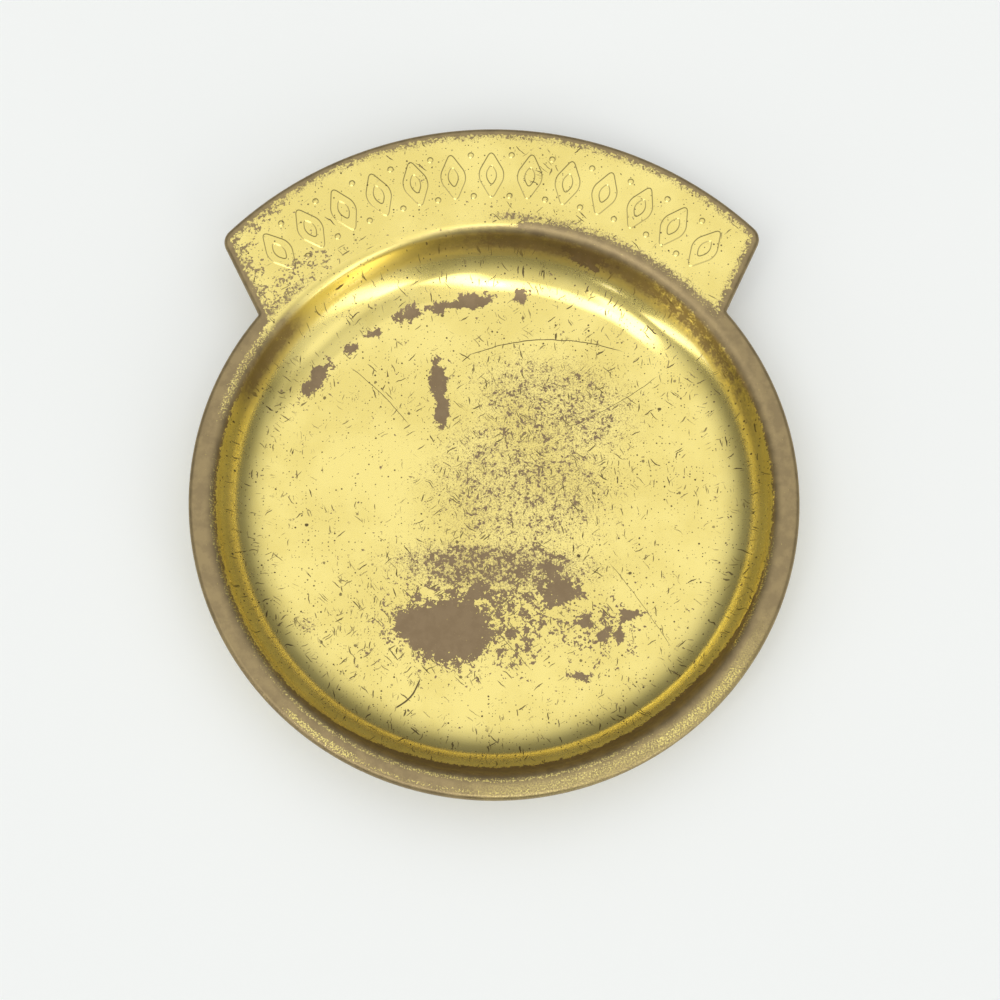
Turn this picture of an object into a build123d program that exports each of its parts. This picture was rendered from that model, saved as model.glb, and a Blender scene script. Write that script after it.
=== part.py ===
from build123d import *
from math import cos, radians, sin, tan
import os

# A coin tray: a round dish with a flat banner plate behind it, pressed from one sheet of brass,
# and a round felt pad stuck under the floor of the dish.
# The origin is where the dish's axis meets the surface that the tray stands on.
# The banner lies towards +Y. Lengths are in millimetres and angles in degrees.

# Outline of the pressing, seen from above
dish_radius = 63.5
banner_radius = 79.6
banner_centre_y = 2.1
banner_half_angle = 25.95
banner_apex_y = -62.4
corner_radius = 3.3
notch_radius = 0.8

# Section of the sheet, from the floor outwards. Each bend is given by its radius on the upper side.
sheet_thickness = 1.4
cove_radius = 14.0
wall_angle = 70.0
wall_length = 0.55
shoulder_radius = 3.0
crest_width = 2.2
edge_bevel = 0.8

# Felt pad under the floor
felt_thickness = 1.0
felt_margin = 1.3

# How far a cutting tool runs past what it cuts
overrun = 1.0

# The section worked out inwards from the rim, along the top of the sheet
crest_inner_radius = dish_radius - edge_bevel - crest_width
wall_outer_radius = crest_inner_radius - shoulder_radius * sin(radians(wall_angle))
wall_inner_radius = wall_outer_radius - wall_length * cos(radians(wall_angle))
floor_radius = wall_inner_radius - cove_radius * sin(radians(wall_angle))

# Heights worked out upwards from the standing surface
bend_rise_share = 1 - cos(radians(wall_angle))
dish_depth = (cove_radius + shoulder_radius) * bend_rise_share + wall_length * sin(radians(wall_angle))
floor_top = felt_thickness + sheet_thickness
crest_height = floor_top + dish_depth
felt_radius = floor_radius - felt_margin


def pressing_outline():
    """The outline from above, a circle with a fan behind it, with its corners rounded."""
    far_y = banner_centre_y + banner_radius + overrun
    half_width = (far_y - banner_apex_y) * tan(radians(banner_half_angle))
    wedge = Polygon((0, banner_apex_y), (half_width, far_y), (-half_width, far_y), align=None)
    fan = Pos(0, banner_centre_y) * Circle(banner_radius)
    outline = Circle(dish_radius) + (fan & wedge)
    by_height = outline.vertices().sort_by(Axis.Y)
    corners = by_height[-2:]
    notches = by_height[-4:-2]
    outline = fillet(corners, corner_radius)
    notches = [outline.vertices().sort_by_distance(notch.center())[0] for notch in notches]
    return fillet(notches, notch_radius)


def crest_and_banner():
    """The flat rim and banner with the dish's mouth open and the upper edge bevelled all round."""
    plate = extrude(Pos(0, 0, crest_height) * pressing_outline(), amount=-sheet_thickness)
    plate = chamfer(plate.faces().sort_by(Axis.Z)[-1].edges(), edge_bevel)
    mouth_height = sheet_thickness + 2 * overrun
    mouth = Pos(0, 0, crest_height + overrun) * extrude(Circle(crest_inner_radius), amount=-mouth_height)
    return plate - mouth


def dish():
    """Floor, cove, wall and shoulder, turned about the dish's axis. Below, the shoulder is a bevel."""
    cove_centre = Vector(floor_radius, floor_top + cove_radius)
    shoulder_centre = Vector(crest_inner_radius, crest_height - shoulder_radius)
    cove = CenterArc(cove_centre, cove_radius, -90, wall_angle)
    under_cove = CenterArc(cove_centre, cove_radius + sheet_thickness, -90, wall_angle)
    shoulder = CenterArc(shoulder_centre, shoulder_radius, 90 + wall_angle, -wall_angle)
    inside_bend = CenterArc(shoulder_centre, shoulder_radius - sheet_thickness, 90 + wall_angle, -wall_angle)
    floor = Line((0, floor_top), cove @ 0)
    under_floor = Line((0, felt_thickness), under_cove @ 0)
    wall = Line(cove @ 1, shoulder @ 0)
    under_wall = Line(under_cove @ 1, inside_bend @ 0)
    under_shoulder = Line(inside_bend @ 0, inside_bend @ 1)
    axis_side = Line(under_floor @ 0, floor @ 0)
    crest_side = Line(shoulder @ 1, inside_bend @ 1)
    top = [floor, cove, wall, shoulder, crest_side]
    under = [under_floor, under_cove, under_wall, under_shoulder, axis_side]
    section = make_face(Curve() + [*top, *under])
    return revolve(Plane.XZ * section, axis=Axis.Z)


def brass_tray():
    """The whole pressing, dish and banner in one sheet."""
    return crest_and_banner() + dish()


def felt_pad():
    """A disc of felt stuck under the floor, on which the tray stands."""
    return extrude(Circle(felt_radius), amount=felt_thickness)


os.makedirs("parts", exist_ok=True)
export_step(brass_tray(), "parts/brass_tray.step")
export_step(felt_pad(), "parts/felt_pad.step")
print(f"floor radius {floor_radius:.2f}, dish depth {dish_depth:.2f}, height {crest_height:.2f}")
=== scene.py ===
# %% [markdown]
# # A worn brass coin tray
# The tray is a round dish with a flat arched banner behind it, pressed in one go from a sheet of
# brass. It was lacquered bright yellow and has been rubbed brown where hands and coins touched it.
# Under the floor it has a disc of felt. This lesson models the pressing as one sheet of metal, the
# way the press makes it, and then spends most of its care on the finish.
#
# The first cell loads the construction model. Everything in it stays where it is.

# %% Load the construction model
from math import atan2, cos, pi, radians, sin, sqrt

import bmesh
import bpy
from mathutils import Matrix, Vector


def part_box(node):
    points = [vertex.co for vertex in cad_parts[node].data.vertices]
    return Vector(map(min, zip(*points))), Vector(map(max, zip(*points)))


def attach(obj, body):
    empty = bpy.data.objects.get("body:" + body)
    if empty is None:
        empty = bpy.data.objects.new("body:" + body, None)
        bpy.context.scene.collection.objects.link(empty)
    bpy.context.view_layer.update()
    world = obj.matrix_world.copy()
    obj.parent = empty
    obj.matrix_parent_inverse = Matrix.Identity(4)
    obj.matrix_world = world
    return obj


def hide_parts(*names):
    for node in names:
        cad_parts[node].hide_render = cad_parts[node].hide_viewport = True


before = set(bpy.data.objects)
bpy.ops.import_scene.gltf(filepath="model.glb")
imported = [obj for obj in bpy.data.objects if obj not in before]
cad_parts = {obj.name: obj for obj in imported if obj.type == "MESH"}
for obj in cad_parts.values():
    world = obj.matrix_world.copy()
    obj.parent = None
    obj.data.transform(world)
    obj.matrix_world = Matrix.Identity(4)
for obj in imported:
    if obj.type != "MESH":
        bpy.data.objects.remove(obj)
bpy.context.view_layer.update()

mm = 0.001
degrees_per_radian = 180 / pi

# %% [markdown]
# ## The sizes that drive the tray
# A pressing is described by its outline and by one section through its sheet. Both are made of
# straight lines and round arcs, so a handful of radii is enough. The heights and the felt's size
# are read from the construction model, and the rest are the press tool's own radii.

# %% Sizes
tray_low, tray_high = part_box("brass_tray")
felt_low, felt_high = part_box("felt_pad")
sheet_thickness = 1.4 * mm
crest_height = tray_high.z
floor_top = tray_low.z + sheet_thickness

dish_radius = 63.5 * mm
banner_radius = 79.6 * mm
banner_centre = Vector((0, 2.1 * mm))
banner_half_angle = radians(25.95)
banner_apex = Vector((0, -62.4 * mm))
corner_radius = 3.3 * mm
notch_radius = 0.8 * mm

wall_angle = radians(70)
wall_length = 0.55 * mm
shoulder_radius = 3.0 * mm
crest_inner_radius = 60.5 * mm
edge_radius = 1.1 * mm

bend_rise_share = 1 - cos(wall_angle)
bend_rise = crest_height - floor_top - wall_length * sin(wall_angle)
cove_radius = bend_rise / bend_rise_share - shoulder_radius
wall_top = crest_inner_radius - shoulder_radius * sin(wall_angle)
floor_radius = wall_top - wall_length * cos(wall_angle) - cove_radius * sin(wall_angle)
print(f"depth {(crest_height - floor_top) / mm:.2f} mm, cove radius {cove_radius / mm:.2f} mm, "
      f"floor radius {floor_radius / mm:.2f} mm")

# %% [markdown]
# ## The camera
# The picture was taken from almost straight above, a little from the front, with a long lens.
# The camera is aimed first, because it decides how much detail each surface needs. Its angles
# come from the ellipse that the round rim makes in the picture.

# %% Camera
camera_azimuth = radians(-2.55)
camera_elevation = radians(75.89)
camera_roll = radians(2.05)
camera_distance = 450 * mm
look_at = Vector((1.13 * mm, -1.49 * mm, crest_height))
focal_length_in_picture_widths = 2.1705
film_width_mm = 36.0


def aim_camera():
    """A camera that looks from backward along the line to look_at, rolled about that line."""
    backward = Vector((sin(camera_azimuth) * cos(camera_elevation),
                       -cos(camera_azimuth) * cos(camera_elevation), sin(camera_elevation)))
    level_right = Vector((0, 0, 1)).cross(backward).normalized()
    level_up = backward.cross(level_right)
    right = level_right * cos(camera_roll) + level_up * sin(camera_roll)
    up = level_up * cos(camera_roll) - level_right * sin(camera_roll)
    data = bpy.data.cameras.new("camera")
    data.sensor_width = film_width_mm
    data.lens = focal_length_in_picture_widths * film_width_mm
    data.clip_start = 10 * mm
    camera = bpy.data.objects.new("camera", data)
    bpy.context.scene.collection.objects.link(camera)
    turned = Matrix((right, up, backward)).transposed().to_4x4()
    camera.matrix_world = Matrix.Translation(look_at + backward * camera_distance) @ turned
    bpy.context.scene.camera = camera
    return camera


camera = aim_camera()
print(f"lens {camera.data.lens:.1f} mm, camera {camera_distance / mm:.0f} mm away")

# %% [markdown]
# ## Tools for modelling by hand
# In edit mode an operator acts on what is selected. The helpers here start a piece from one
# point, draw with it, and select faces or edges by a test on where they are.

# %% Helpers
def leave_edit_mode():
    if bpy.context.object and bpy.context.object.mode == "EDIT":
        bpy.ops.object.mode_set(mode="OBJECT")


def start_piece(name, primitive, **settings):
    """Adds a primitive at its size and place as a new piece, and opens it for editing."""
    leave_edit_mode()
    bpy.ops.object.select_all(action="DESELECT")
    primitive(**settings)
    piece = bpy.context.object
    piece.name = piece.data.name = name
    bpy.ops.object.transform_apply(location=True, rotation=True, scale=True)
    bpy.ops.object.mode_set(mode="EDIT")
    bpy.ops.mesh.select_mode(type="VERT")
    return piece


def start_from_a_point(name, point):
    """A new piece that holds one chosen vertex. Its origin stays the world's."""
    piece = start_piece(name, bpy.ops.mesh.primitive_plane_add, size=1 * mm)
    bpy.ops.mesh.merge(type="CENTER")
    bpy.ops.transform.translate(value=point)
    return piece


def draw_line(start, end, steps=1):
    """Extrudes the chosen vertex from start to end in equal steps."""
    step = (Vector(end) - Vector(start)) / steps
    for _ in range(steps):
        bpy.ops.mesh.extrude_vertices_move(TRANSFORM_OT_translate={"value": step})


def draw_arc(centre, turn, steps, axis=(0, 0, 1)):
    """Spins what is chosen round centre. A positive turn is anticlockwise about the axis."""
    bpy.ops.mesh.spin(steps=steps, angle=-turn, center=centre, axis=axis)


def choose(kind, test):
    """Selects only those vertices, edges or faces that pass the test, and says how many."""
    bpy.ops.mesh.select_mode(type=kind)
    bpy.ops.mesh.select_all(action="DESELECT")
    mesh = bmesh.from_edit_mesh(bpy.context.object.data)
    parts = {"VERT": mesh.verts, "EDGE": mesh.edges, "FACE": mesh.faces}[kind]
    found = [part for part in parts if test(part)]
    for part in found:
        part.select_set(True)
    mesh.select_flush_mode()
    bmesh.update_edit_mesh(bpy.context.object.data)
    return len(found)


def lies_at(part, height):
    return all(abs(vertex.co.z - height) < 0.001 * mm for vertex in part.verts)


def weld(distance=0.001 * mm):
    bpy.ops.mesh.select_all(action="SELECT")
    bpy.ops.mesh.remove_doubles(threshold=distance)


def join_pieces(main, *others):
    """Joins the other pieces into the main one and opens it for editing."""
    leave_edit_mode()
    bpy.ops.object.select_all(action="DESELECT")
    for piece in (*others, main):
        piece.select_set(True)
    bpy.context.view_layer.objects.active = main
    bpy.ops.object.join()
    bpy.ops.object.mode_set(mode="EDIT")


# %% [markdown]
# ## The outline
# Seen from above the pressing is a circle with a fan behind it. The fan's sides are straight and
# aim at one point near the front of the dish, and its back is an arc. Where a side meets an arc
# the corner is rounded. Each rounding is part of a small circle that touches both, and its centre
# lies where a line beside the fan's side crosses a circle beside the arc.

# %% Outline
def far_crossing(point, direction, centre, distance):
    """Where the line from point along direction leaves the circle of that distance round centre."""
    offset = point - centre
    along = offset.dot(direction)
    return point + direction * (sqrt(along ** 2 - offset.length_squared + distance ** 2) - along)


def mirrored(point):
    return Vector((-point.x, point.y))


dish_centre = Vector((0, 0))
side = Vector((sin(banner_half_angle), cos(banner_half_angle)))
outward = Vector((cos(banner_half_angle), -sin(banner_half_angle)))
notch_centre = far_crossing(banner_apex + outward * notch_radius, side, dish_centre,
                            dish_radius + notch_radius)
corner_centre = far_crossing(banner_apex - outward * corner_radius, side, banner_centre,
                             banner_radius - corner_radius)
notch_on_dish = notch_centre * (dish_radius / (dish_radius + notch_radius))
notch_on_side = notch_centre - outward * notch_radius
corner_on_side = corner_centre + outward * corner_radius
corner_reach = banner_radius / (banner_radius - corner_radius)
corner_on_arc = banner_centre + (corner_centre - banner_centre) * corner_reach


def arc_through(start, end, centre, steps, clockwise=True):
    """Draws on from start to end round centre."""
    begin, finish = start - centre, end - centre
    turn = atan2(finish.y, finish.x) - atan2(begin.y, begin.x)
    turn = turn % (2 * pi) - (2 * pi if clockwise else 0)
    draw_arc((*centre, plate_bottom), turn, steps)


plate_bottom = crest_height - sheet_thickness
plate = start_from_a_point("brass_pressing", (*notch_on_dish, plate_bottom))
arc_through(notch_on_dish, mirrored(notch_on_dish), dish_centre, 240)
arc_through(mirrored(notch_on_dish), mirrored(notch_on_side), mirrored(notch_centre), 10, clockwise=False)
draw_line(mirrored(notch_on_side).to_3d(), mirrored(corner_on_side).to_3d(), 12)
arc_through(mirrored(corner_on_side), mirrored(corner_on_arc), mirrored(corner_centre), 12)
arc_through(mirrored(corner_on_arc), corner_on_arc, banner_centre, 110)
arc_through(corner_on_arc, corner_on_side, corner_centre, 12)
draw_line(corner_on_side.to_3d(), notch_on_side.to_3d(), 12)
arc_through(notch_on_side, notch_on_dish, notch_centre, 10, clockwise=False)
weld(0.01 * mm)
print(f"notch at {notch_on_dish.x / mm:.1f}, {notch_on_dish.y / mm:.1f} mm, "
      f"corner at {corner_on_side.x / mm:.1f}, {corner_on_side.y / mm:.1f} mm")

# %% [markdown]
# ## The edge of the sheet
# The outline is filled, raised by the thickness of the sheet, and the edge of its top face is
# rounded off by a bevel, as the edge of a pressing is by the die and by years of polishing. Only
# the rounded ribbon is kept, with a narrow flat margin. Smooth shading bends the normals of the
# first row of faces next to a curve, and with a margin it bends them there and not on the flat.

# %% Edge
margin = 0.15 * mm
edge_segments = 12
corners_of_a_broad_face = 50


def is_broad(face):
    return len(face.verts) > corners_of_a_broad_face


bpy.ops.mesh.edge_face_add()
bpy.ops.mesh.extrude_region_move(TRANSFORM_OT_translate={"value": (0, 0, sheet_thickness)})
choose("EDGE", lambda edge: lies_at(edge, crest_height))
bpy.ops.mesh.bevel(offset=edge_radius, segments=edge_segments, profile=0.5, affect="EDGES",
                   clamp_overlap=False)
choose("FACE", lambda face: is_broad(face) and lies_at(face, crest_height))
bpy.ops.mesh.inset(thickness=margin)
choose("FACE", is_broad)
bpy.ops.mesh.delete(type="FACE")
leave_edit_mode()
print("faces of the edge", len(plate.data.polygons))

# %% [markdown]
# ## The dish
# Floor, cove, wall and shoulder are one line, drawn from the axis outwards and spun round it. The
# sheet has the same thickness everywhere, so its underside is the same line drawn round the same
# centres, with radii that differ by the thickness.

# %% Dish
def spin_dish(name, below):
    """The dish's surface that lies by below under the top of the sheet, spun from one line."""
    along_y = (0, 1, 0)
    cove_centre = Vector((floor_radius, 0, floor_top + cove_radius))
    shoulder_centre = Vector((crest_inner_radius, 0, crest_height - shoulder_radius))
    steep = Vector((sin(wall_angle), 0, -cos(wall_angle)))
    cove_end = cove_centre + steep * (cove_radius + below)
    shoulder_start = shoulder_centre - steep * (shoulder_radius - below)
    surface = start_from_a_point(name, (0, 0, floor_top - below))
    draw_line((0, 0, 0), (floor_radius, 0, 0), 10)
    draw_arc(cove_centre, -wall_angle, 40, along_y)
    draw_line(cove_end, shoulder_start, 2)
    draw_arc(shoulder_centre, wall_angle, 18, along_y)
    draw_line((0, 0, 0), (margin, 0, 0))
    bpy.ops.mesh.select_all(action="SELECT")
    bpy.ops.mesh.spin(steps=256, angle=2 * pi, center=(0, 0, 0), axis=(0, 0, 1))
    weld()
    leave_edit_mode()
    return surface


dish = spin_dish("dish", below=0)
dish_underside = spin_dish("dish_underside", below=sheet_thickness)
print("faces of the dish", len(dish.data.polygons), "and below", len(dish_underside.data.polygons))

# %% [markdown]
# ## The relief on the banner
# The banner carries a raised border that the same die presses: a row of lozenges with a raised
# rim and a sunk middle, and small beads between their points. Each shape is a flat face that is
# inset several times, and every inset climbs or falls a little, which makes the soft S-shaped
# slope of pressed metal. One shape is modelled and then copied round the banner's centre.

# %% Relief
lozenge_count = 13
lozenge_pitch = radians(6.9)
lozenge_centre_radius = 68.6 * mm
lozenge_height = 12.8 * mm
lozenge_width = 7.0 * mm
middle_height = 6.4 * mm
middle_width = 3.6 * mm
lozenge_softening = 2.0 * mm
middle_softening = 1.5 * mm
bead_radius = 0.85 * mm
bead_from_centre = 4.7 * mm
slope_in_mm = [(0.09, 0.015), (0.11, 0.065), (0.11, 0.065), (0.09, 0.015)]
relief_rise = sum(rise for width, rise in slope_in_mm) * mm
dome_in_mm = [(0.08, 0.02), (0.10, 0.07), (0.12, 0.05), (0.14, 0.03), (0.14, 0.01)]
relief_margin = 0.1 * mm


def inset_in_steps(steps_in_mm, sense=1):
    """Insets the chosen face with a flat margin and then step by step."""
    bpy.ops.mesh.inset(thickness=relief_margin)
    for width, rise in steps_in_mm:
        bpy.ops.mesh.inset(thickness=width * mm, depth=sense * rise * mm)


def start_lozenge(name, width, height, softening, level):
    """A flat lozenge with rounded corners, all chosen."""
    place = (0, banner_centre.y + lozenge_centre_radius, level)
    lozenge = start_piece(name, bpy.ops.mesh.primitive_circle_add, vertices=4, radius=height / 2,
                          fill_type="NGON", location=place)
    bpy.ops.mesh.select_all(action="SELECT")
    bpy.ops.transform.resize(value=(width / height, 1, 1), center_override=place)
    bpy.ops.mesh.bevel(offset=softening, segments=7, affect="VERTICES")
    bpy.ops.mesh.select_mode(type="FACE")
    bpy.ops.mesh.select_all(action="SELECT")
    return lozenge


def repeat_round_banner(count):
    """Copies the open piece round the banner's centre, with the row in the middle of the banner."""
    about = {"orient_axis": "Z", "center_override": (*banner_centre, crest_height)}
    bpy.ops.mesh.select_all(action="SELECT")
    bpy.ops.transform.rotate(value=-lozenge_pitch * (count - 1) / 2, **about)
    for _ in range(count - 1):
        bpy.ops.mesh.duplicate()
        bpy.ops.transform.rotate(value=lozenge_pitch, **about)
    leave_edit_mode()


def press_lozenges():
    """The row of lozenges, with open edges at the height of the banner."""
    lozenges = start_lozenge("lozenges", lozenge_width, lozenge_height, lozenge_softening, crest_height)
    inset_in_steps(slope_in_mm)
    bpy.ops.mesh.inset(thickness=relief_margin)
    bpy.ops.mesh.delete(type="FACE")
    top = crest_height + relief_rise
    middle = start_lozenge("middle", middle_width, middle_height, middle_softening, top)
    inset_in_steps(slope_in_mm, sense=-1)
    bpy.ops.mesh.inset(thickness=relief_margin)
    join_pieces(lozenges, middle)
    choose("EDGE", lambda edge: edge.is_boundary and lies_at(edge, top))
    bpy.ops.mesh.fill(use_beauty=True)
    repeat_round_banner(lozenge_count)
    return lozenges


def press_beads(name, centre_radius):
    """A row of domed beads that stand between the lozenges."""
    place = (0, banner_centre.y + centre_radius, crest_height)
    beads = start_piece(name, bpy.ops.mesh.primitive_circle_add, vertices=20,
                        radius=bead_radius, fill_type="NGON", location=place)
    bpy.ops.mesh.select_mode(type="FACE")
    bpy.ops.mesh.select_all(action="SELECT")
    inset_in_steps(dome_in_mm)
    repeat_round_banner(lozenge_count - 1)
    return beads


lozenges = press_lozenges()
outer_beads = press_beads("outer_beads", lozenge_centre_radius + bead_from_centre)
inner_beads = press_beads("inner_beads", lozenge_centre_radius - bead_from_centre)
print(f"relief {relief_rise / mm:.2f} mm high, faces",
      sum(len(piece.data.polygons) for piece in (lozenges, outer_beads, inner_beads)))

# %% [markdown]
# ## One sheet
# The relief also shows underneath, as it does on pressed metal, so it is copied down by the
# thickness of the sheet. Then all the surfaces are joined, and the two flats are filled between
# their open edges, which leaves one closed sheet.

# %% Join the sheet
sharp_from = radians(35)
join_pieces(lozenges, outer_beads, inner_beads)
bpy.ops.mesh.select_all(action="SELECT")
bpy.ops.mesh.duplicate()
bpy.ops.transform.translate(value=(0, 0, -sheet_thickness))
join_pieces(plate, dish, dish_underside, lozenges)
for height in (crest_height, plate_bottom):
    open_edges = choose("EDGE", lambda edge: edge.is_boundary and lies_at(edge, height))
    bpy.ops.mesh.fill(use_beauty=True)
    print(f"open edges at {height / mm:.1f} mm: {open_edges}")
weld()
bpy.ops.mesh.normals_make_consistent(inside=False)
holes = choose("EDGE", lambda edge: not edge.is_manifold)
leave_edit_mode()
bpy.ops.object.shade_smooth_by_angle(angle=sharp_from)
print("faces of the sheet", len(plate.data.polygons), "edges left open", holes)

# %% [markdown]
# ## The felt
# The pad is a stamped disc of short felt. Its edge is cut clean and frays only a little, so the
# edge is softened by a small bevel.

# %% Felt
felt_radius = (felt_high.x - felt_low.x) / 2
felt_thickness = felt_high.z - felt_low.z
felt_softening = 0.3 * mm
felt_margin = 1.0 * mm
pad = start_piece("felt_disc", bpy.ops.mesh.primitive_cylinder_add, vertices=160, radius=felt_radius,
                  depth=felt_thickness, location=(0, 0, felt_thickness / 2))
choose("EDGE", lambda edge: lies_at(edge, 0))
bpy.ops.mesh.bevel(offset=felt_softening, segments=4, affect="EDGES", clamp_overlap=False)
choose("FACE", is_broad)
bpy.ops.mesh.inset(thickness=felt_margin)
leave_edit_mode()
bpy.ops.object.shade_smooth_by_angle(angle=radians(50))
print(f"felt {2 * felt_radius / mm:.1f} mm across and {felt_thickness / mm:.1f} mm thick")

# %% [markdown]
# ## A small language for shader maths
# A finish is a set of masks, and masks are arithmetic. A wire is one socket of a node tree that
# can be added, multiplied and compared like a number, and the graph makes the nodes behind it.

# %% Wires
class Wire:
    """One output socket of a shader graph, with the arithmetic of a number."""

    def __init__(self, graph, socket):
        self.graph, self.socket = graph, socket

    def __add__(self, other):
        return self.graph.maths("ADD", self, other)

    def __sub__(self, other):
        return self.graph.maths("SUBTRACT", self, other)

    def __rsub__(self, other):
        return self.graph.maths("SUBTRACT", other, self)

    def __mul__(self, other):
        return self.graph.maths("MULTIPLY", self, other)

    def __neg__(self):
        return self * -1

    __radd__ = __add__
    __rmul__ = __mul__


class Graph:
    """Builds the nodes of one node tree."""

    def __init__(self, tree):
        self.tree = tree
        tree.nodes.clear()

    def add(self, kind, settings, inputs, output=0):
        """Adds a node with its settings, plugs in its inputs and returns one of its outputs."""
        node = self.tree.nodes.new("ShaderNode" + kind)
        for name, value in settings.items():
            setattr(node, name, value)
        for name, value in inputs.items():
            if isinstance(value, Wire):
                self.tree.links.new(value.socket, node.inputs[name])
            else:
                node.inputs[name].default_value = value
        return Wire(self, node.outputs[output]) if node.outputs else node

    def maths(self, operation, *values):
        return self.add("Math", {"operation": operation}, dict(enumerate(values)))

    def larger(self, *values):
        result = values[0]
        for value in values[1:]:
            result = self.maths("MAXIMUM", result, value)
        return result

    def smaller(self, *values):
        result = values[0]
        for value in values[1:]:
            result = self.maths("MINIMUM", result, value)
        return result

    def rise(self, value, low, high):
        """Zero up to low, one from high on, and a smooth climb between."""
        ends = {"Value": value, "From Min": low, "From Max": high}
        return self.add("MapRange", {"interpolation_type": "SMOOTHSTEP"}, ends, "Result")

    def fall(self, value, low, high):
        """One up to low and zero from high on."""
        ends = {"Value": value, "From Min": low, "From Max": high, "To Min": 1, "To Max": 0}
        return self.add("MapRange", {"interpolation_type": "SMOOTHSTEP"}, ends, "Result")

    def near(self, value, middle, full, none):
        """One within full of the middle and zero beyond none of it."""
        return self.fall(self.maths("ABSOLUTE", value - middle), full, none)

    def blend(self, factor, first, second):
        """The first colour where the factor is zero and the second where it is one."""
        return self.add("Mix", {"data_type": "RGBA"}, {0: factor, 6: first, 7: second}, 2)

    def noise(self, size, detail=3, roughness=0.5, shift=0.0, flat=False, at=None):
        """Soft noise around zero with bumps of about the size. The shift gives another pattern."""
        moved = self.add("VectorMath", {"operation": "ADD"}, {0: at or self.place, 1: (shift, -shift, shift)})
        inputs = {"Vector": moved, "Scale": 1 / size, "Detail": detail, "Roughness": roughness}
        settings = {"noise_dimensions": "2D" if flat else "3D"}
        return self.add("TexNoise", settings, inputs, "Fac") - 0.5

    def scatter(self, spacing, at):
        """The distance to the nearest of scattered points, and two random numbers of that point."""
        inputs = {"Vector": at, "Scale": 1 / spacing}
        distance = self.add("TexVoronoi", {"voronoi_dimensions": "2D"}, inputs, "Distance")
        draws = self.split(Wire(self, distance.socket.node.outputs["Color"]))
        return distance * spacing, draws[0], draws[1]

    def oval(self, x, y, half_length, half_width, turn=0):
        """The place seen from a turned oval's middle, in units of its half sizes."""
        inputs = {"Vector": self.place, "Location": (x, y, 0), "Rotation": (0, 0, radians(turn)),
                  "Scale": (half_length, half_width, 1)}
        seen = self.add("Mapping", {"vector_type": "TEXTURE"}, inputs)
        return self.add("VectorMath", {"operation": "MULTIPLY"}, {0: seen, 1: (1, 1, 0)})

    def use_millimetres(self):
        """Takes the place on the piece in millimetres, as one vector and as x, y and z."""
        spot = self.add("TexCoord", {}, {}, "Object")
        self.place = self.add("VectorMath", {"operation": "SCALE"}, {0: spot, "Scale": 1 / mm})
        self.x, self.y, self.z = self.split(self.place)

    def split(self, vector):
        first = self.add("SeparateXYZ", {}, {0: vector}, 0)
        return [Wire(self, socket) for socket in first.socket.node.outputs]

    def vector(self, x, y, z):
        return self.add("CombineXYZ", {}, {0: x, 1: y, 2: z})

    def length(self, vector):
        return self.add("VectorMath", {"operation": "LENGTH"}, {0: vector}, "Value")


def new_material(name):
    material = bpy.data.materials.new(name)
    material.use_nodes = True
    return material, Graph(material.node_tree)


def colour(red, green, blue):
    return (red, green, blue, 1)


# %% [markdown]
# ## Where the lacquer is gone
# The lacquer goes first where the tray is touched: on the rim and the shoulder of the dish, along
# the edge of the banner, and on the floor where coins land. Each such place is a depth in
# millimetres, positive inside its border. The deepest one counts, a ragged noise is added to it,
# and where the sum is above zero the brass is bare. So every border is a line with bays and
# islands, like the edge of real flaked lacquer.
#
# The first cell measures the tray: distances in millimetres, and two azimuths in degrees, one
# counted from the front and one from the back. Both are positive on the right. The second holds
# the oval places where the film has flaked off the floor.

# %% Places on the tray
brass, g = new_material("worn_brass")
g.use_millimetres()
from_axis = g.length(g.vector(g.x, g.y, 0))
from_banner_centre = g.length(g.vector(g.x, g.y - banner_centre.y / mm, 0))
round_rim = g.maths("ARCTAN2", g.x, -g.y) * degrees_per_radian
from_back = g.maths("ARCTAN2", g.x, g.y) * degrees_per_radian
below_crest = crest_height / mm - g.z
along_fan = (g.y - banner_apex.y / mm) * sin(banner_half_angle)
across_fan = g.maths("ABSOLUTE", g.x) * cos(banner_half_angle)
inside_banner = g.smaller(banner_radius / mm - from_banner_centre, along_fan - across_fan)
upright = g.split(g.add("NewGeometry", {}, {}, "Normal"))[2]
faces_up = g.rise(upright, -0.1, 0.1)
on_relief = g.fall(below_crest, -0.01, 0.01) * g.rise(upright, 0, 0.1)
# Painted shade: the steep slopes of the relief are pulled part way to tarnish brown and made rougher, which
# draws dark outlines round the lozenges and beads.
painted_shade_on_relief_slopes = g.fall(upright, 0.90, 0.985) * on_relief

ragged = g.noise(2.0, 6, 0.65)
crumbs = g.noise(0.6, 3, 0.6, shift=40)
broad = g.noise(16, 2, 0.5, shift=80, flat=True)


class Spot:
    """An oval place on the tray, with its middle and half sizes in millimetres."""

    def __init__(self, x, y, half_length, half_width, turn=0):
        self.oval = (x, y, half_length, half_width, turn)
        self.small_half = min(half_length, half_width)

    def reach(self):
        """Zero in the middle and one on the border."""
        return g.length(g.oval(*self.oval))

    def depth(self):
        """How far inside the border a place is, in millimetres."""
        return g.maths("MULTIPLY_ADD", self.reach(), -self.small_half, self.small_half)

    def glow(self):
        """One in the middle, fading to zero beyond the border."""
        return g.fall(self.reach(), 0.4, 1.4)


print("nodes for the places", len(brass.node_tree.nodes))

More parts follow.
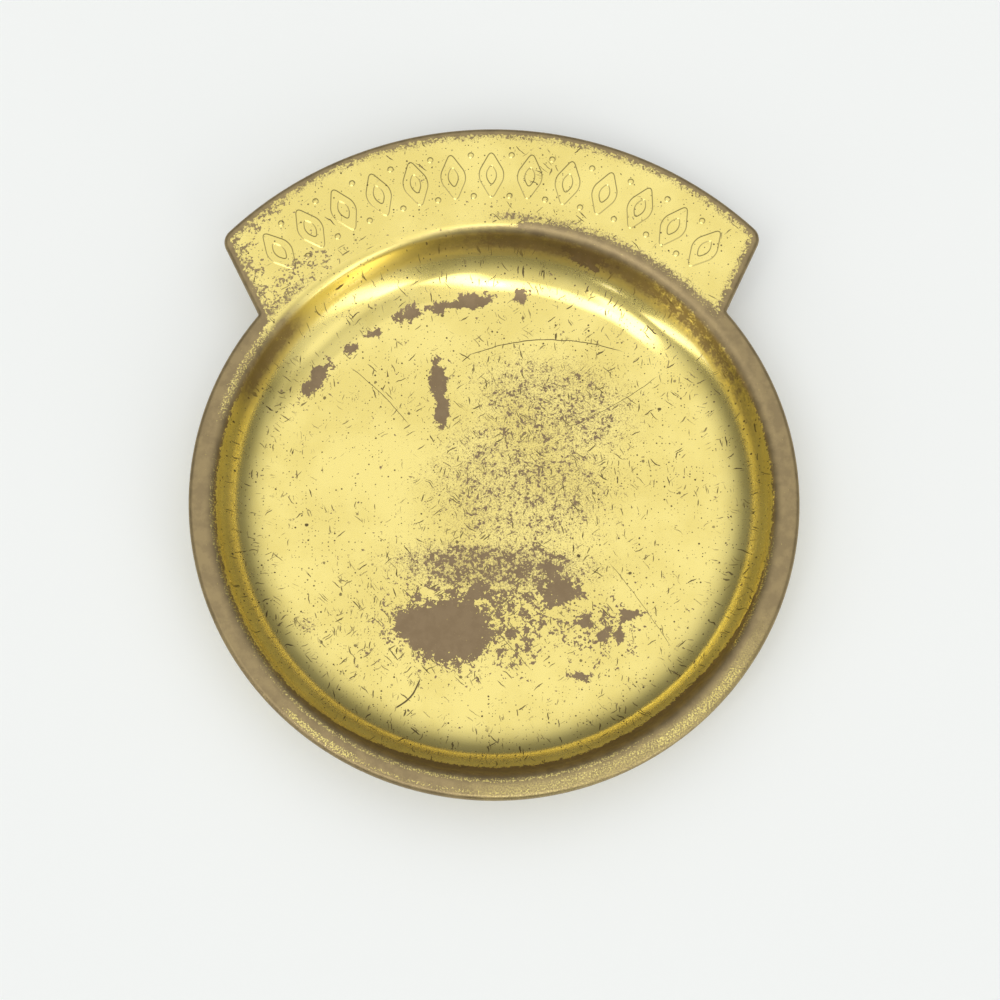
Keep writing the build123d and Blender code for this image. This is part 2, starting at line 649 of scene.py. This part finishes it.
# %% Bare spots
big_patch = [
    Spot(-9.6, -27.0, 9.6, 7.0, 4),
    Spot(-17.0, -25.5, 4.5, 4.6, -20),
    Spot(-4.0, -19.0, 5.0, 2.0, 10),
    Spot(13.4, -18.4, 4.4, 3.2, 8),
    Spot(12.3, -14.5, 2.4, 3.4),
]
bare_spots = [
    Spot(-11.7, 27.5, 1.9, 5.0, 6),
    Spot(-11.0, 21.5, 1.8, 4.0),
    Spot(-38.0, 28.4, 4.8, 1.8, 52),
    Spot(-30.6, 35.4, 1.9, 1.1, 35),
    Spot(-26.1, 38.9, 1.6, 1.0, 30),
    Spot(-17.9, 43.4, 3.1, 1.7, 22),
    Spot(-11.5, 44.8, 3.6, 1.3, 8),
    Spot(-4.5, 46.0, 4.6, 1.6, 6),
    Spot(6.3, 47.3, 1.6, 1.5),
    Spot(28.3, -23.9, 1.9, 1.5),
    Spot(22.6, -28.1, 1.9, 1.3, 30),
    Spot(26.2, -28.4, 1.4, 1.0, -40),
    Spot(18.4, -25.3, 2.3, 1.2, -20),
    Spot(18.2, -36.6, 2.6, 0.8, -4),
    Spot(20.5, 53.2, 5.0, 1.6, -22),
]
sharp_spots = g.larger(*(spot.depth() for spot in bare_spots)) + ragged * 5 + crumbs * 2.5
crumbly_patch = g.larger(*(spot.depth() for spot in big_patch)) + ragged * 10 + crumbs * 7
only_on_top = (1 - faces_up) * -9
print("nodes with the bare spots", len(brass.node_tree.nodes))

# %% [markdown]
# ## The rubbed rim, and the stain and painted dark reflection on the far wall
# The rim is rubbed bare from its edge over the shoulder to a little way down the wall. In front
# the bare band reaches deeper, and behind on the left the shoulder is still whole and the banner's
# lacquer runs on into the dish. The rest of the banner keeps its lacquer inside a narrow border.
# On the far wall the film isn't gone. From the shoulder down it is darkened brown, partly a real
# stain in the film and partly a painted dark reflection, so that mask has soft ends and no flakes.

# %% Rubbed rim, and stain and painted dark reflection on the far wall
banner_border = 1.7
crest_begins = 60.4
bare_depth = 1.4
deeper_in_front = 3.6
less_behind = 2.0
darkest_stain_and_reflection = 0.9
inner_limit = 60.5 + g.rise(from_back, 5, 35) * 1.2 - g.near(from_back, -25, 22, 34) * 3.5
banner_field = g.smaller(inside_banner - banner_border, from_axis - inner_limit)
front_wall = g.near(round_rim, 14, 26, 66)
far_left_shoulder = g.near(from_back, -25, 24, 36)
worn_to = bare_depth + front_wall * deeper_in_front - far_left_shoulder * less_behind
worn_crest = g.smaller(from_axis - crest_begins, 3 - below_crest)
rubbed_rim = g.smaller(g.larger(worn_to - below_crest, worn_crest), -banner_field)
rough_rim = rubbed_rim + ragged * 2 + crumbs * 2.5
flaked = g.larger(rough_rim, sharp_spots + only_on_top, crumbly_patch + only_on_top)
flaked = g.rise(flaked, -0.1, 0.1)
# The far wall's brown is partly a real stain and partly a painted dark reflection of the room.
stain_and_reflection_stretch = g.larger(g.near(from_back, 28, 22, 58), g.near(from_back, -57, 6, 16))
far_wall_stain_and_reflection = stain_and_reflection_stretch * g.rise(below_crest, 0.0, 0.5) * g.fall(below_crest, 4.2, 7.6)
cloudy = (ragged * 3 + crumbs * 2) * (0.3 + g.rise(from_back, 30, 46))
stain_and_dark_reflection = g.smaller(far_wall_stain_and_reflection * (0.95 + cloudy), darkest_stain_and_reflection)
print("nodes with the rim and the wall", len(brass.node_tree.nodes))

# %% [markdown]
# ## Mottling and flecks
# Between bare and whole there are mottled places, where the film has gone in crumbs. They use the
# same noises with a threshold that sinks towards the middle of the place. The banner's field has
# such a border all round, which is widest at its left end. Round the big patch the crumbs are
# larger, like islands, and in the middle of the floor the film is only hazed by fine cracks.

# %% Mottling
mottled_places = [
    (0.85, Spot(13.0, 22.0, 23.0, 14.0, -14)),
    (0.85, Spot(6.0, 5.0, 24.0, 22.0)),
    (1.1, Spot(0.0, -13.0, 26.0, 7.0, -3)),
    (0.85, Spot(-39.3, -25.3, 2.6, 2.2)),
]
field_edge = g.smaller(inside_banner - banner_border, from_axis - 61.3)
smooth_stretch = g.near(from_back, -20, 14, 24) * g.fall(from_axis, 64, 66)
edge_crumbs = g.fall(g.maths("ABSOLUTE", field_edge), 0.3, 2.4) * (1 - smooth_stretch * 0.8)
left_end = g.fall(field_edge, 0.5, 7.5) * g.rise(-from_back, 27, 40) * g.rise(field_edge, -1.5, 0)
places = g.larger(*(spot.glow() * strength for strength, spot in mottled_places))
mottling = g.larger(places, edge_crumbs * 0.95) * faces_up
mottled = g.rise(mottling * 1.9 - 1.95 + ragged * 3.5 + crumbs * 4.5, -0.1, 0.14)
round_patch = Spot(-3.0, -24.0, 24.0, 13.0, 4).glow()
beside_patch = Spot(22.0, -27.0, 10.0, 8.0).glow() * 0.75
banner_foot = Spot(-42.0, 49.0, 10.0, 3.0, 40).glow() * 0.85
islands = g.larger(round_patch, beside_patch, left_end * 0.9, banner_foot)
crumbled = g.rise(islands * 1.4 - 1.42 + ragged * 6 + crumbs * 5, -0.08, 0.1) * faces_up
fine = g.noise(0.35, 3, 0.7, shift=20, flat=True)
veins = g.noise(1.3, 4, 0.6, shift=60, flat=True)
crackle = g.fall(g.maths("ABSOLUTE", veins), 0.006, 0.022)
hazed = g.rise(mottling * 1.5 - 1.3 + fine * 4.5 + crackle * 0.7 + ragged * 1.5, 0.0, 0.4) * 0.6
print("nodes with the mottling", len(brass.node_tree.nodes))

# %% [markdown]
# ## Gold left on the rim
# On the rim it is the other way round. It is bare, and flecks of gold are left on it in a few
# lines and clusters, each with its radius, its width and its stretch of the rim. On the right in
# front there is also a dust of gold, too fine to see as flecks.

# %% Flecks
def rim_line(radius, half_width, azimuth, half_angle):
    """A stretch of the rim. Azimuth is counted from the front, anticlockwise, in degrees."""
    across_line = g.near(from_axis, radius, half_width * 0.4, half_width * 1.6)
    along_line = g.near(round_rim, azimuth, half_angle * 0.7, half_angle * 1.2)
    return across_line * along_line


gold_left = g.larger(
    rim_line(59.5, 0.5, -10, 44) * 0.85,
    rim_line(62.0, 0.45, -10, 28) * 0.7,
    rim_line(61.9, 0.7, -35, 9),
    rim_line(61.7, 1.2, 42, 13),
    rim_line(61.3, 1.0, 22, 14) * 0.7,
    rim_line(58.6, 0.5, -72, 26) * 0.8,
    rim_line(58.4, 0.5, 68, 14) * 0.8,
    rim_line(59.6, 0.9, -118, 12) * 0.9,
    rim_line(61.2, 0.9, 150, 22) * 0.6,
)
along_rim = g.vector(round_rim * 0.8, from_axis, 0)
grain = g.noise(0.7, 4, 0.75, flat=True, at=along_rim)
flecks = g.rise(gold_left * 0.36 + grain * 0.6 + fine * 1.4, 0.33, 0.44) * faces_up * 0.9
gold_dust = rim_line(61.8, 1.5, 28, 34) * (0.22 + fine * 1.5)
print("nodes with the flecks", len(brass.node_tree.nodes))

# %% [markdown]
# ## Specks and scratches
# Specks are small round holes in the film, and scratches are short straight ones. Both come from
# scattered points: a speck is what lies close to a point, and a scratch is the same with the
# pattern squeezed in one direction. Each mark has its own size and strength, and they lie closer
# where the floor is scuffed. The cove has its own scratches, which run down its slope, and a few
# long ones are drawn one by one.

# %% Specks and scratches
scuffed = g.larger(Spot(-18, -26, 22, 15).glow(), Spot(14, 26, 24, 14).glow() * 0.9, mottling * 0.8)
on_floor = g.fall(from_axis, 50, 58)
rubbed_more = (scuffed + on_floor * 0.4 - 0.75 + broad * 2) * 0.16


def marks(spacing, radius, share, at):
    """A mark of up to that radius at some of the scattered points, more often where it is scuffed."""
    distance, draw, size = g.scatter(spacing, at)
    reach = distance - size * radius * 0.6 + crumbs * radius
    found = g.rise(draw + rubbed_more, 1 - share, 1.02 - share)
    return g.fall(reach, radius * 0.1, radius * 0.45) * found * (0.35 + size * 0.65)


wavy = g.noise(4.0, 2, 0.5, shift=160, flat=True)


def scratches(turn, stretch, width, share):
    """Straight marks at one angle, that many times as long as wide. The turn is in degrees."""
    inputs = {"Vector": g.place, "Rotation": (0, 0, radians(turn)), "Scale": (stretch, 1, 1)}
    squeezed = g.split(g.add("Mapping", {"vector_type": "TEXTURE"}, inputs))
    return marks(0.55, width, share, g.vector(squeezed[0], squeezed[1] + wavy * 1.5, 0))


pinholes = g.larger(marks(1.4, 0.24, 0.30, g.place), marks(3.6, 0.45, 0.15, g.place),
                    marks(0.7, 0.15, 0.30, g.place))
short_scratches = g.larger(scratches(35, 9, 0.15, 0.15), scratches(82, 6, 0.16, 0.13),
                           scratches(-42, 12, 0.14, 0.15), scratches(-75, 8, 0.15, 0.11))
print("nodes with the scratches", len(brass.node_tree.nodes))

# %% Long scratches and the scratches of the cove
def long_scratch(start, end, bow, width):
    """One long scratch from start to end that bulges by bow in its middle, in millimetres."""
    middle, course = (Vector(start) + Vector(end)) / 2, Vector(end) - Vector(start)
    turn = atan2(course.y, course.x) * degrees_per_radian
    seen = g.oval(*middle, course.length / 2, 1, turn)
    along, across = g.split(seen)[:2]
    off_line = g.maths("ABSOLUTE", across - (1 - along * along) * bow + wavy * 0.5)
    return g.fall(off_line, width * 0.4, width) * g.fall(g.maths("ABSOLUTE", along), 0.8, 1.0)


long_scratches = g.larger(
    long_scratch((-6.5, 33.2), (29, 34.0), 3.6, 0.14),
    long_scratch((-15.6, -36.6), (-21.2, -43.2), 0.9, 0.26),
    long_scratch((-31, 31.5), (-18, 18), 0.6, 0.09),
    long_scratch((15, 17), (36, 29), -0.8, 0.09),
    long_scratch((-14, -12), (8, -36), 0.5, 0.08),
    long_scratch((24, -12), (37, -31), 0.4, 0.07),
)
down_slope = g.vector(round_rim * 0.9 + wavy * 3, from_axis * 0.16, 0)
cove_scratches = marks(0.7, 0.17, 0.45, down_slope) * g.near(from_axis, 52.5, 3.5, 6)
print("nodes with all scratches", len(brass.node_tree.nodes))

# %% [markdown]
# ## The brass itself
# Lacquered brass mirrors its surroundings in bright yellow. Bare brass tarnishes to a dull grey
# brown with a soft sheen, a little brighter on the rim, which is polished by handling. The mask
# picks colour and roughness together, because both change at the same line. The same mask also
# carries painted shade: a painted dark reflection on the far wall, on top of its real stain, and
# dark outlines on the relief's slopes, both painted tarnish brown, rougher and with less coat. A
# scratch is darker than a worn place, because it is too narrow to be wiped. The clear coat is there
# only where the lacquer is. The bump is only the faint waviness of pressed sheet and the fine grain
# of the film.

# %% Finish of the brass
bright_lacquer = colour(0.89, 0.745, 0.23)
darker_lacquer = colour(0.81, 0.665, 0.185)
floor_browns = (colour(0.245, 0.176, 0.10), colour(0.275, 0.2, 0.115))
rim_browns = (colour(0.29, 0.22, 0.115), colour(0.36, 0.275, 0.14))
scratch_brown = colour(0.13, 0.10, 0.045)
worn_and_dark_reflection = g.larger(flaked, stain_and_dark_reflection, mottled, crumbled, hazed)
marked = g.larger(pinholes, short_scratches, long_scratches, cove_scratches)
# Painted shade on the relief's slopes joins the wear and the painted dark reflection here.
unmarked_wear_and_painted_shade = g.larger(worn_and_dark_reflection, painted_shade_on_relief_slopes * 0.4) * (1 - g.larger(flecks, gold_dust))
bare_and_painted_shade = g.larger(unmarked_wear_and_painted_shade, marked)
shade = g.noise(3.0, 4, 0.6, shift=200, flat=True)
handled = g.fall(below_crest, 0.5, 3.0)
banner_left = g.fall(g.x, -60, 30) * g.rise(g.y, 40, 60)
# The lacquer is darker in broad random clouds and towards the banner's left end.
lacquer = g.blend(g.rise(broad + shade * 0.3 + banner_left * 0.18, -0.2, 0.2), bright_lacquer, darker_lacquer)
patchy = g.rise(shade, -0.15, 0.15)
tarnish = g.blend(handled, g.blend(patchy, *floor_browns), g.blend(patchy, *rim_browns))
dark_marks = marked * (1 - worn_and_dark_reflection)
base_colour = g.blend(bare_and_painted_shade, lacquer, g.blend(dark_marks, tarnish, scratch_brown))
on_wall = g.fall(below_crest, 6.5, 9.5) * g.fall(from_axis, 60, 61)
lacquer_roughness = 0.11 + mottling * 0.08 + crumbs * 0.05 + on_wall * 0.17
tarnish_roughness = 0.45 + shade * 0.2
roughness = lacquer_roughness + bare_and_painted_shade * (tarnish_roughness - lacquer_roughness)
film_grain = g.noise(0.3, 2, 0.6, flat=True) * 0.003
sheet_waves = g.noise(11, 1, shift=240, flat=True) * 0.05
waviness = g.add("Bump", {}, {"Strength": 1.0, "Distance": mm, "Height": film_grain + sheet_waves})
shader = g.add("BsdfPrincipled", {}, {
    "Base Color": base_colour,
    "Metallic": 1.0,
    "Roughness": roughness,
    "Coat Weight": 1 - bare_and_painted_shade,
    "Coat Roughness": 0.08,
    "Normal": waviness,
})
g.add("OutputMaterial", {}, {"Surface": shader})
plate.data.materials.clear()
plate.data.materials.append(brass)
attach(plate, "root")
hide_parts("brass_tray")
print("nodes of the brass", len(brass.node_tree.nodes))

# %% [markdown]
# ## The felt's finish
# Felt is a mat of short fibres. Up close it is a cloud of slightly lighter and darker tufts, so
# two noises change its colour, and the finer one also raises its surface.

# %% Felt finish
felt, f = new_material("felt")
f.use_millimetres()
tufts = f.noise(0.8, 5, 0.6)
fibres = f.noise(0.14, 3, 0.7, shift=30)
mixed = f.rise(tufts * 0.6 + fibres * 0.4, -0.2, 0.2)
felt_colour = f.blend(mixed, colour(0.045, 0.105, 0.06), colour(0.09, 0.19, 0.11))
nap = f.add("Bump", {}, {"Strength": 0.8, "Distance": mm, "Height": fibres * 0.12 + tufts * 0.1})
felt_shader = f.add("BsdfPrincipled", {}, {
    "Base Color": felt_colour,
    "Roughness": 0.93 + fibres * 0.1,
    "Sheen Weight": 0.3,
    "Sheen Roughness": 0.6,
    "Normal": nap,
})
f.add("OutputMaterial", {}, {"Surface": felt_shader})
pad.data.materials.clear()
pad.data.materials.append(felt)
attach(pad, "root")
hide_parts("felt_pad")
print("nodes of the felt", len(felt.node_tree.nodes))

# %% [markdown]
# ## The table
# The tray lies on a plain white table. White paper under studio light is almost as bright as the
# light, so the table gives a little light of its own to the camera and to mirrors, and the rest of
# its brightness is light that falls on it, which keeps the tray's soft shadow.

# %% Table
table_radius_m = 5
table_glow = 0.12
table = start_piece("table", bpy.ops.mesh.primitive_circle_add, vertices=96, radius=table_radius_m,
                    fill_type="NGON")
leave_edit_mode()
paper, p = new_material("white_table")
rays = p.add("LightPath", {}, {}, "Is Camera Ray")
kinds = rays.socket.node.outputs
seen = p.larger(rays, Wire(p, kinds["Is Glossy Ray"]), Wire(p, kinds["Is Transmission Ray"]))
lit = p.add("BsdfDiffuse", {}, {"Color": colour(0.80, 0.815, 0.80)})
own_light = p.add("Emission", {}, {"Color": colour(0.97, 1.0, 0.99), "Strength": seen * table_glow})
p.add("OutputMaterial", {}, {"Surface": p.add("AddShader", {}, {0: lit, 1: own_light})})
table.data.materials.append(paper)
print("table", table.name)

# %% [markdown]
# ## The light
# Polished metal shows the room, so the light is a room: bright above, dim towards the horizon,
# with a few soft windows. Brightness is worked out from the direction, as an angle from straight
# up and an azimuth from the front. The first three windows run together into one broad arch. The
# next three stand low: a tall narrow one with a faint glow round it on the right, and a tall
# narrow one on the left. They draw the thin streaks in the cove. The seventh is only a spark, and
# the last has a strength below zero, which makes a dim corner.

# %% Light
studio = bpy.data.worlds.new("studio")
bpy.context.scene.world = studio
studio.use_nodes = True
w = Graph(studio.node_tree)
towards = w.split(w.add("TexCoord", {}, {}, "Generated"))
from_zenith = w.maths("ARCCOSINE", towards[2]) * degrees_per_radian
from_front = w.maths("ARCTAN2", towards[0], -towards[1]) * degrees_per_radian


def window(zenith, height, azimuth, width, soft, strength, slant=0):
    """A soft bright window. Angles are in degrees, and height and width are halves.

    The slant says how far the azimuth moves with each degree from the window's middle height.
    """
    upright = w.near(from_zenith, zenith, height, height + soft)
    level = w.near(from_front - (from_zenith - zenith) * slant, azimuth, width, width + soft)
    return upright * level * strength


room_stops = [(0.0, 0.17), (0.10, 0.20), (0.26, 0.26), (0.36, 0.31), (0.454, 0.43), (0.545, 0.56),
              (0.63, 0.72), (0.707, 0.83), (0.78, 0.93), (0.87, 1.04), (1.0, 1.08)]
room = w.add("ValToRGB", {}, {0: towards[2]})
stops = room.socket.node.color_ramp.elements
while len(stops) < len(room_stops):
    stops.new(0.5)
for stop, (place, level) in zip(stops, room_stops):
    stop.position = place
    stop.color = colour(level, level, level)
windows = (
    window(34, 9, 9, 4, 7, 2.4, slant=0.6)
    + window(33, 9, -50, 7, 8, 2.5, slant=0.45)
    + window(23, 5, -20, 22, 7, 1.9)
    + window(72, 17, 39, 3, 5, 2.4, slant=0.42)
    + window(66, 16, 46, 14, 14, 0.5)
    + window(72, 11, -58, 2.5, 3, 3.4, slant=-0.56)
    + window(69, 1, -35, 1.5, 2, 3.5)
    + window(33, 14, 58, 22, 10, -0.2)
)
room_level = w.split(room)[0] + windows
sky = w.add("Background", {}, {"Color": colour(1, 1, 1), "Strength": room_level})
w.add("OutputWorld", {}, {"Surface": sky})
bpy.context.scene.view_settings.view_transform = "Standard"
print("windows added, nodes of the room", len(studio.node_tree.nodes))
